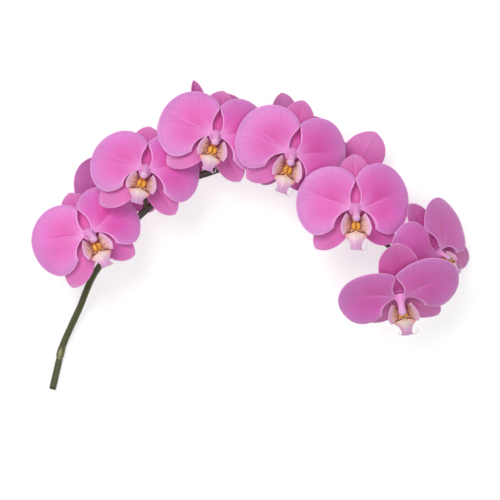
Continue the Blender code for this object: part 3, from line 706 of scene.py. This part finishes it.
def sepalShell(length, halfWidth, direction, fold, tilt, shade, phase, tone):
    # strip along its heading: the half-width rises along a sine and closes on a round tip; it
    # bends back with the square of the distance, and the fold bends its halves back; the shade
    # trades the deep pink along the middle for a painted shadow at the foot, where the petals shade
    # it
    p = sepal
    u, v = np.meshgrid(np.linspace(0.05, 1, p["rows"]) ** 0.9, np.linspace(-1, 1, p["steps"]),
                       indexing="ij")
    over = np.clip((u - p["widest"]) / (1 - p["widest"]), 0, 1)
    rising = p["foot"] + (1 - p["foot"]) * np.sin(0.5 * math.pi * np.minimum(u / p["widest"], 1))
    width = halfWidth * np.where(u < p["widest"], rising, np.sqrt(1 - 0.985 * over ** 2.7))
    rho = u * length * (1 + p["tip"] * over ** 2)
    bend = np.radians(fold) * np.minimum(1, 2 * u)
    x = rho - p["swept"] * width * v ** 2 * u
    y = v * width * np.cos(bend)
    z = -p["drop"] - rho * math.tan(math.radians(tilt)) - p["bend"] * rho ** 2
    z += p["cup"] * width * v ** 2
    z -= np.abs(v) * width * np.sin(bend)
    z -= p["groove"] * bump(0, p["grooveWidth"], v) * ease(0.05, 0.25, u) * (1 - ease(0.8, 1.0, u))
    z += p["ripple"] * v ** 4 * np.sin(p["ripples"] * u + phase + 2 * v)
    heading = math.radians(direction)
    middle = np.stack((x * math.cos(heading) - y * math.sin(heading),
                       x * math.sin(heading) + y * math.cos(heading), z), 2)
    margin = np.minimum((1 - np.abs(v)) * width, (1 - u) * length)
    blushAndShade = p["blushAndShade"] * (1 - ease(0.2, 0.7, np.abs(v))) * bump(0.45, 0.35, u)
    # painted shadow: the shade fades the deep pink and darkens the foot, where the petals shade it
    blushAndShade = blushAndShade * (1 - shade) - shade * (1 - ease(0.12, 0.62, u))
    skin = np.stack((u, 0.5 + 0.5 * v, margin), 2)
    mood = np.stack((np.zeros_like(u), blushAndShade, np.full_like(u, tone)), 2)
    return blade(middle, thinned(p["thick"], np.maximum(u, np.abs(v))), skin, mood)


# nets of points from the claw to the front; a side lobe's columns run from its foot to its edge
lip = dict(
    midlobe=(
        ((-2.2, -4.9, 2.0), (-2.6, -10, 4.2), (-3.0, -15, 5.4), (-5.4, -19.5, 7.6),
         (-9.0, -22.8, 8.8), (-6.0, -27, 10.2), (-4.2, -31.2, 11.8), (-4.6, -34.4, 13.2)),
        ((0, -4.9, 2.0), (0, -10, 3.8), (0, -15, 4.8), (0, -19.5, 8.2),
         (0, -22.8, 10.0), (0, -27, 11.4), (0, -31.5, 12.8), (0, -34.6, 13.8)),
        ((2.2, -4.9, 2.0), (2.6, -10, 4.2), (3.0, -15, 5.4), (5.4, -19.5, 7.6),
         (9.0, -22.8, 8.8), (6.0, -27, 10.2), (4.2, -31.2, 11.8), (4.6, -34.4, 13.2)),
    ),
    midGrid=(56, 28), rib=0.5, wave=0.3, waves=16,
    sideLobe=(
        ((2.2, -9.5, 4.0), (2.6, -13, 5.0), (3.0, -17, 6.2), (4.4, -19.3, 7.6)),
        ((6.0, -6.4, 4.8), (7.8, -11, 6.6), (8.8, -16.6, 8.2), (8.0, -21.0, 9.6)),
        ((7.8, -4.0, 5.2), (10.6, -9.4, 8.0), (12.4, -16.6, 9.8), (11.2, -22.3, 10.6)),
    ),
    sideGrid=(32, 26), flare=0.5, sideWave=0.25, sideWaves=12, thick=0.6,
    tendril=((2.6, -33.8, 13.0), (5.6, -35.4, 12.7), (8.4, -34.6, 12.6), (9.6, -31.0, 12.8),
             (9.0, -27.4, 13.2)),
    tendrilRadii=(0.5, 0.36, 0.3, 0.27, 0.18), tendrilRings=40, tendrilSides=10,
)


def lobeSkin(grid, low):
    # along 0 to 1 down the rows, across low to 1 over the columns, and the way to the free edge
    along, across = np.meshgrid(np.linspace(0, 1, grid[0]), np.linspace(low, 1, grid[1]),
                                indexing="ij")
    return np.stack((along, across, 1 - np.abs(across)), 2)


def lipShells(loops):
    # the lobes are smooth lofts; the middle one has a rib along it and a wave at its rim, the
    # side ones roll out at their free edge, and a tendril curls from each side of the tip
    middle = loft(np.array(lip["midlobe"]).transpose(1, 0, 2), *lip["midGrid"])
    skin = lobeSkin(lip["midGrid"], -1)
    along, across = skin[..., 0], skin[..., 1]
    rib = lip["rib"] * bump(0, 0.16, across)
    middle[..., 2] += rib * ease(0.45, 0.6, along) * (1 - ease(0.85, 1, along))
    wave = lip["wave"] * np.abs(across) ** 3 * np.sin(lip["waves"] * along)
    middle[..., 2] += wave * ease(0.5, 0.7, along)
    shells = [blade(middle, lip["thick"], skin, np.zeros_like(skin))]

    lobe = loft(np.array(lip["sideLobe"]).transpose(1, 0, 2), *lip["sideGrid"])
    skin = lobeSkin(lip["sideGrid"], 0)
    along, across = skin[..., 0], skin[..., 1]
    lobe[..., 0] += lip["flare"] * ease(0.8, 1.0, across) * np.sin(math.pi * along)
    lobe[..., 2] += lip["sideWave"] * across ** 3 * np.sin(lip["sideWaves"] * along)
    mood = np.zeros_like(skin)
    shells.append(blade(lobe, lip["thick"], skin, mood, 1))
    shells.append(blade(lobe[:, ::-1] * (-1, 1, 1), lip["thick"], skin[:, ::-1], mood, 1))

    weights = splineMatrix(len(lip["tendril"]), lip["tendrilRings"])
    tendril, radii = weights @ np.array(lip["tendril"]), weights @ np.array(lip["tendrilRadii"])
    for flip, loop in zip((-1, 1), loops):
        curl = (tendril[0] + (tendril - tendril[0]) * (loop, loop, 1)) * (flip, 1, 1)
        shells.append(tube(curl, radii, lip["tendrilSides"], (0, 0, 1), finish=2))
    return shells


column = dict(
    path=((0, -0.3, 1.0), (0, -0.6, 2.4), (0, -1.7, 4.4), (0, -3.6, 7.0), (0, -6.4, 9.4),
          (0, -8.7, 11.3), (0, -10.2, 12.7)),
    radii=(6.0, 4.6, 3.3, 2.8, 3.0, 3.2, 1.2), taper=(0.93, 0.8, 0.6, 0.3), flat=0.9, rings=40,
    sides=28, cap=(0, -9.2, 11.9), capHalves=(2.3, 2.0, 1.6), capPale=0.4,
)


def columnShells():
    # a smooth club along its path, flattened a little, with a foot that flares over the hub and
    # the cap on its end
    p = column
    weights = splineMatrix(len(p["path"]), p["rings"])
    path, radii = weights @ np.array(p["path"]), weights @ np.array(p["radii"])
    radii[-len(p["taper"]):] *= p["taper"]
    return [tube(path, radii, p["sides"], (1, 0, 0), flat=p["flat"]),
            ball(p["cap"], p["capHalves"], (p["capPale"], 0, 0))]


callus = dict(middle=(0.0, -14.9, 8.4), halves=(3.7, 3.2, 2.0), wart=0.05, shoulder=0.2,
              cleft=0.62, cleftWidth=0.17, bulge=(0.16, 0.14), rows=36, sides=48)


def callusShell():
    # an ellipsoid with a cleft along its middle, raised shoulders and small warts
    p = callus
    polar = np.linspace(0.05, math.pi - 0.05, p["rows"])[:, None]
    turn = np.linspace(0, math.tau, p["sides"], endpoint=False)[None, :]
    x, y = np.sin(polar) * np.cos(turn), np.sin(polar) * np.sin(turn)
    z = -np.cos(polar) * np.ones_like(turn)
    upper = ease(-0.2, 0.6, z)
    warts = p["wart"] * np.sin(11 * x + 3 * y) * np.sin(13 * y - 2) * upper
    lift = p["shoulder"] * np.abs(x) - p["cleft"] * bump(0, p["cleftWidth"], x) * upper + warts
    shape = np.stack((x * (1 + p["bulge"][0] * np.abs(y)), y * (1 + p["bulge"][1] * np.abs(x)),
                      z + lift), 2)
    rings = np.array(p["middle"]) + shape * p["halves"]
    return closedRings(rings, np.stack((x, y, z), 2), (0, 0, 0))


# height and radius up each of the two plugs that a bloom's leaves grow from, how far each lies
# below the bloom's axis, and the place on a leaf whose colour they take
hub = dict(sepals=((-2.6, 3.6), (-2.1, 5.0), (-1.3, 5.6), (-0.5, 5.4), (-0.1, 4.4)),
           petals=((0.2, 3.4), (0.6, 4.3), (1.4, 4.7), (2.1, 4.2), (2.7, 3.1), (3.0, 1.4)),
           low=dict(sepals=0.4, petals=1.9), skin=(0.03, 0.2, 9.0), rings=20, sides=32)


def hubShell(leaves, tone):
    # a plug's profile turned about an upright line
    profile = np.array(hub[leaves])
    height, radius = (splineMatrix(len(profile), hub["rings"]) @ profile).T
    path = np.stack((0 * height, 0 * height - hub["low"][leaves], height), 1)
    made = tube(path, radius, hub["sides"], (1, 0, 0), mood=(0, 0, tone))
    made["skin"][:] = hub["skin"]
    return made


def sepalShells(bloom, number):
    # the upright sepal is the first of the three, and the number sets their ripples apart
    shells = [hubShell("sepals", bloom["tone"])]
    for k, (length, halfWidth, direction) in enumerate((sepal["dorsal"], *sepal["laterals"])):
        # the two lower sepals take the painted shadow at their feet
        shells.append(sepalShell(
            length * bloom["sepalStretch"][k], halfWidth * (1 if k else bloom["dorsalWide"]),
            direction + bloom["sepalTurns"][k], 0 if k else bloom["dorsalFold"],
            bloom["sepalTilt"] if k else sepal["dorsalTilt"], sepal["shade"] if k else 0.0,
            number + k, bloom["tone"]))
    return shells


def petalShells(bloom, number):
    # a front bloom's petals keep their edges when they are turned
    hold = 0 if bloom["rear"] else 1
    leftReach, rightReach = bloom["petalReach"]
    return [petalShell(-bloom["rightTurn"], bloom["rightFurl"], rightReach, hold, number,
                       bloom["tone"], False),
            petalShell(-bloom["leftTurn"], bloom["leftFurl"], leftReach, hold, number + 2,
                       bloom["tone"], True),
            hubShell("petals", bloom["tone"])]


def buildBloom(number, bloom):
    place, node = bloomMatrix(bloom), f"bloom_{number}"
    face = place @ shrunk(bloom["lipSize"], bloom["lipTurn"])
    piece(f"sepals_{number}", sepalShells(bloom, number), place, ["sepal"],
          [node + "_sepals"])
    piece(f"petals_{number}", petalShells(bloom, number), place, ["petal"],
          [node + "_petals"])
    piece(f"column_{number}", columnShells(), face, ["column"], [node + "_petals"])
    piece(f"lip_{number}", lipShells(bloom["loops"]), face, ["lip", "sideLobe", "tendril"],
          [node + "_lip"], floorCut=bloom["rear"])
    piece(f"callus_{number}", [callusShell()], face, ["callus"], [node + "_callus"])
    print("bloom", number)


for bloomNumber, bloomValues in blooms.items():
    buildBloom(bloomNumber, bloomValues)

stem = dict(
    cut=((52.5, 389.0), (57.7, 366.5)), lie=2.818, radius=3.05, tipRadius=1.9, sides=36, steps=6,
    route=((62.7, 346, 3.6), (71.7, 325, 7.0), (80, 307, 12), (89.6, 283, 19), (99.5, 266, 25),
           (120, 237, 31), (146, 210, 33), (175, 189, 35), (207, 173, 36), (245, 167, 37),
           (290, 175, 38), (345, 212, 40), (387, 245, 43), (404, 258, 46)),
    lumps=((0.012, 70), (0.01, 173)), knot=0.35, knotLength=3.0,
    sheath=((62.0, 341.0), (62.0, 360.0)), sheathExtra=0.45, sheathDry=0.35,
    bud=(62.0, 353.0), budSize=(2.3, 8.5), budBack=2.0, budLift=0.6, budSink=0.6,
    budMood=(0.5, 0.6, 0),
    stalkRadii=(1.5, 1.5, 1.5, 1.5, 1.8, 2.1), stalkSides=20, stalkEnd=1.5, stalkBend=0.45,
    hubBack=-2.8, hubGap=0.3, bract=(2.9, 6.5), bractWrap=1.9, bractThick=0.4,
)


def stemPath():
    # straight along the surface from the cut, then a spline through the route; every sixth point
    # is one of the solid stem's own
    start, end = (seenAt(*pixel, stem["lie"]) for pixel in stem["cut"])
    arch = np.array([end] + [seenAt(*spot) for spot in stem["route"]])
    straight = start + np.linspace(0, 1, stem["steps"], endpoint=False)[:, None] * (end - start)
    curve = splineMatrix(len(arch), (len(arch) - 1) * 2 * stem["steps"] + 1) @ arch
    return np.vstack((straight, curve))


def nearest(path, pixel):
    # the index of the solid stem's point that lies under this pixel
    own = path[::stem["steps"]]
    under = np.array([seenAt(*pixel, height) for height in own[:, 2]])
    return stem["steps"] * int(np.argmin(np.linalg.norm(own - under, axis=1)))


def budShell(path):
    # an egg that lies ahead along the stem: its radius closes by the power 2.2 of the way and
    # swells along a sine
    k = nearest(path, stem["bud"])
    ahead = unit(path[k + 1] - path[k])
    wide, length = stem["budSize"]
    top = path[k] + length * ahead + (0, 0, stem["radius"] + stem["budLift"])
    foot = path[k] - stem["budBack"] * ahead + (0, 0, stem["budSink"] * stem["radius"])
    t = np.linspace(0, 1, 20)
    radii = wide * np.sqrt(np.clip(1 - t ** 2.2, 0, 1))
    radii = radii * (0.75 + 0.25 * np.sin(math.pi * t)) + 0.15
    return tube(foot + t[:, None] * (top - foot), radii, 20, (0, 0, 1), mood=stem["budMood"])


def stemShells(path, joints):
    # the stem thins with the square of the way, with low lumps and a knot at each stalk; the
    # sheath wraps it and closes at its upper end
    share = np.arange(len(path)) / (len(path) - 1)
    radii = stem["radius"] + (stem["tipRadius"] - stem["radius"]) * share ** 2
    swell = 1.0
    for height, waves in stem["lumps"]:
        swell = swell + height * np.sin(waves * share)
    radii = radii * swell
    for joint in joints:
        radii += stem["knot"] * bump(joint, stem["knotLength"], np.arange(len(path)))
    high, low = (nearest(path, pixel) for pixel in stem["sheath"])
    wrap = path[low:high + 1] + (0, 0, 2 * stem["sheathExtra"])
    flare = stem["sheathExtra"] * (1 - ease(0.75, 1.0, np.linspace(0, 1, len(wrap))))
    return [tube(path, radii, stem["sides"], (0, 0, 1), cut=1.0),
            tube(wrap, stem["radius"] + flare, stem["sides"], (0, 0, 1),
                 mood=(0, stem["sheathDry"], 0)), budShell(path)]


def stalkLine(leave, place):
    # a cubic curve from the stem, out towards the bloom and into the back of its hub, where it
    # ends in a straight stretch
    facing = unit(place[:3, 2])
    back = place[:3, :3] @ (0, 0, stem["hubBack"] + stem["hubGap"]) + place[:3, 3]
    last = back - stem["stalkEnd"] * facing
    away = last - leave
    out = unit(away)
    reach = stem["stalkBend"] * np.linalg.norm(away)
    b, c = leave + reach * out, last - reach * facing
    t = np.linspace(0, 1, 28)[:, None]
    curve = (1 - t) ** 3 * leave + 3 * (1 - t) ** 2 * t * b + 3 * (1 - t) * t * t * c
    curve = curve + t ** 3 * last
    line = np.vstack((curve, last + np.array((0.5, 1.0))[:, None] * (back - last)))
    reference = np.cross(out, facing)
    if np.linalg.norm(reference) < 0.05:  # the stalk runs straight at its bloom
        reference = np.array((0.3, 1.0, 0.1))
    return line, out, reference


def bractShell(foot, out):
    # a pointed scale wrapped round the stalk's foot: its width closes towards the tip
    wide, length = stem["bract"]
    u, v = np.meshgrid(np.linspace(0, 1, 16), np.linspace(-1, 1, 15), indexing="ij")
    down = unit(np.cross(out, np.cross((0, 0, -1.0), out)))
    side = np.cross(out, down)
    bend = stem["bractWrap"] * v * (1 - u ** 1.6)
    away = wide * (1 - 0.25 * u) + 0.5 * ease(0.6, 1, u)
    middle = (foot + (u * length)[..., None] * out + (away * np.cos(bend))[..., None] * down
              + (away * np.sin(bend))[..., None] * side)
    skin = np.stack((np.cos(bend), np.sin(bend), 40 * u), 2)
    mood = np.stack((np.zeros_like(u), 0.25 + 0.5 * u, np.zeros_like(u)), 2)
    made = blade(middle, stem["bractThick"], skin, mood)
    made["mood"][:, 0] = 0  # a bract has no cut side
    return made


def buildStem():
    path = stemPath()
    joints = {number: nearest(path, bloom["stalk"]) for number, bloom in blooms.items()}
    piece("stem", stemShells(path, joints.values()), np.eye(4), ["stem"],
          ["flower_stem"], floorCut=True)
    shells = []
    for number, bloom in blooms.items():
        foot = path[joints[number]]
        line, out, reference = stalkLine(foot, bloomMatrix(bloom))
        around = np.interp(np.linspace(0, 5, len(line)), range(6), stem["stalkRadii"])
        shells.append(tube(line, around, stem["stalkSides"], reference))
        shells.append(bractShell(foot, out))
    piece("stalks", shells, np.eye(4), ["stalk"], ["flower_stem"])
    print("stem and stalks")


buildStem()

# lengths in metres here, light in watts
studio = dict(
    glow=0.61, world=0.24, paper=0.52, tooth=0.02, floorSize=8, floorDrop=0.0003,
    aim=(0, 0, 0.04),
    lights=dict(softbox=((-0.5, 0.6, 1.5), 0.9, 15), front_fill=((0.25, -0.35, 1.6), 1.1, 8)),
)


def floorFinish():
    # white paper with a faint tooth
    made, tree, shader = newFinish("paper_white", 0.8)
    shade = maths(tree, "MULTIPLY_ADD", grain(tree, 300, 3), studio["tooth"], studio["paper"])
    feed(tree, shader.inputs["Base Color"], gathered(tree, shade, shade, shade))
    shader.inputs["Emission Color"].default_value = (1, 1, 1, 1)
    shader.inputs["Emission Strength"].default_value = studio["glow"]
    return made


def setFloor():
    bpy.ops.mesh.primitive_plane_add(size=studio["floorSize"],
                                     location=(0, 0, -studio["floorDrop"]))
    floor = bpy.context.object
    floor.name = "floor"
    floor.data.materials.append(floorFinish())


def setLights():
    # two round softboxes that look at the spray, and an even white world
    for name, (place, size, watts) in studio["lights"].items():
        data = bpy.data.lights.new(name, "AREA")
        data.shape, data.size, data.energy = "DISK", size, watts
        made = bpy.data.objects.new(name, data)
        made.location = place
        towards = Vector(studio["aim"]) - made.location
        made.rotation_euler = towards.to_track_quat("-Z", "Y").to_euler()
        bpy.context.scene.collection.objects.link(made)
    world = bpy.data.worlds.new("studio")
    world.use_nodes = True
    background = world.node_tree.nodes["Background"]
    background.inputs[0].default_value = (1, 1, 1, 1)
    background.inputs[1].default_value = studio["world"]
    bpy.context.scene.world = world
    bpy.context.scene.view_settings.view_transform = "Standard"


def setCamera():
    # straight down from the eye; its lens makes the photograph's frame at the blooms' level
    data = bpy.data.cameras.new("camera")
    data.sensor_width = photo["sensor"]
    data.lens = photo["sensor"] * photo["eye"] / (2 * photo["middle"] * photo["pixel"])
    made = bpy.data.objects.new("camera", data)
    made.location = seenAt(photo["middle"], photo["middle"], photo["eye"] + photo["level"]) * 0.001
    bpy.context.scene.collection.objects.link(made)
    bpy.context.scene.camera = made


setFloor()
setLights()
setCamera()
print("studio")
